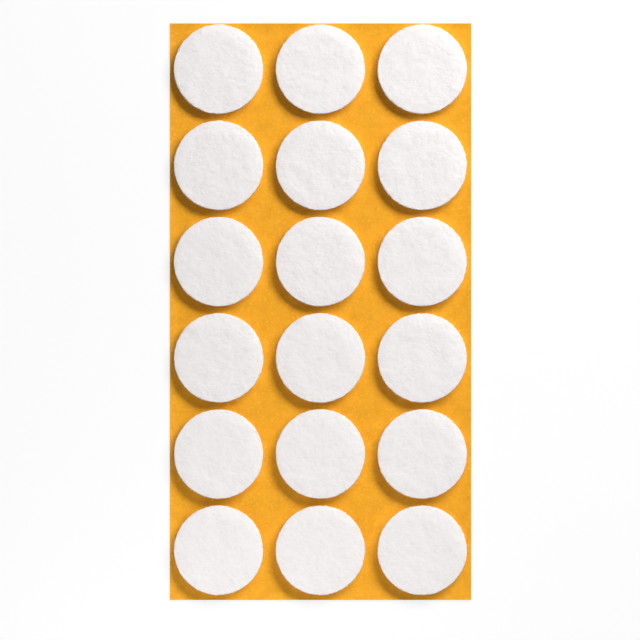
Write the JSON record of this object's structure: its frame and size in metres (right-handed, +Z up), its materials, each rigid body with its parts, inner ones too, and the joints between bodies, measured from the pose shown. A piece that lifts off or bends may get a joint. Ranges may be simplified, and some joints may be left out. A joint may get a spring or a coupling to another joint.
{
  "type": "felt furniture pad sheet",
  "caption": "Flat sheet of round self-adhesive felt pads on a peel-off release liner, for sticking under the legs and feet of furniture.",
  "frame": {"origin": "centre of the liner's underside", "axes": "+Z up out of the felt faces, +Y along the sheet's length towards row 1, +X along its width towards column 3"},
  "size_m": [0.102, 0.1952, 0.0037],
  "materials": {
    "liner": "siliconised paper, low sheen",
    "adhesive": "tacky acrylic film, translucent pale cream",
    "felt": "white needle-punched felt, matt and slightly fuzzy"
  },
  "bodies": {
    "root": {"release_liner": "liner", "adhesive_r1_c1": "adhesive", "adhesive_r1_c2": "adhesive", "adhesive_r1_c3": "adhesive", "adhesive_r2_c1": "adhesive", "adhesive_r2_c2": "adhesive", "adhesive_r2_c3": "adhesive", "adhesive_r3_c1": "adhesive", "adhesive_r3_c2": "adhesive", "adhesive_r3_c3": "adhesive", "adhesive_r4_c1": "adhesive", "adhesive_r4_c2": "adhesive", "adhesive_r4_c3": "adhesive", "adhesive_r5_c1": "adhesive", "adhesive_r5_c2": "adhesive", "adhesive_r5_c3": "adhesive", "adhesive_r6_c1": "adhesive", "adhesive_r6_c2": "adhesive", "adhesive_r6_c3": "adhesive", "felt_pad_r1_c1": "felt", "felt_pad_r1_c2": "felt", "felt_pad_r1_c3": "felt", "felt_pad_r2_c1": "felt", "felt_pad_r2_c2": "felt", "felt_pad_r2_c3": "felt", "felt_pad_r3_c1": "felt", "felt_pad_r3_c2": "felt", "felt_pad_r3_c3": "felt", "felt_pad_r4_c1": "felt", "felt_pad_r4_c2": "felt", "felt_pad_r4_c3": "felt", "felt_pad_r5_c1": "felt", "felt_pad_r5_c2": "felt", "felt_pad_r5_c3": "felt", "felt_pad_r6_c1": "felt", "felt_pad_r6_c2": "felt", "felt_pad_r6_c3": "felt"}
  },
  "joints": []
}
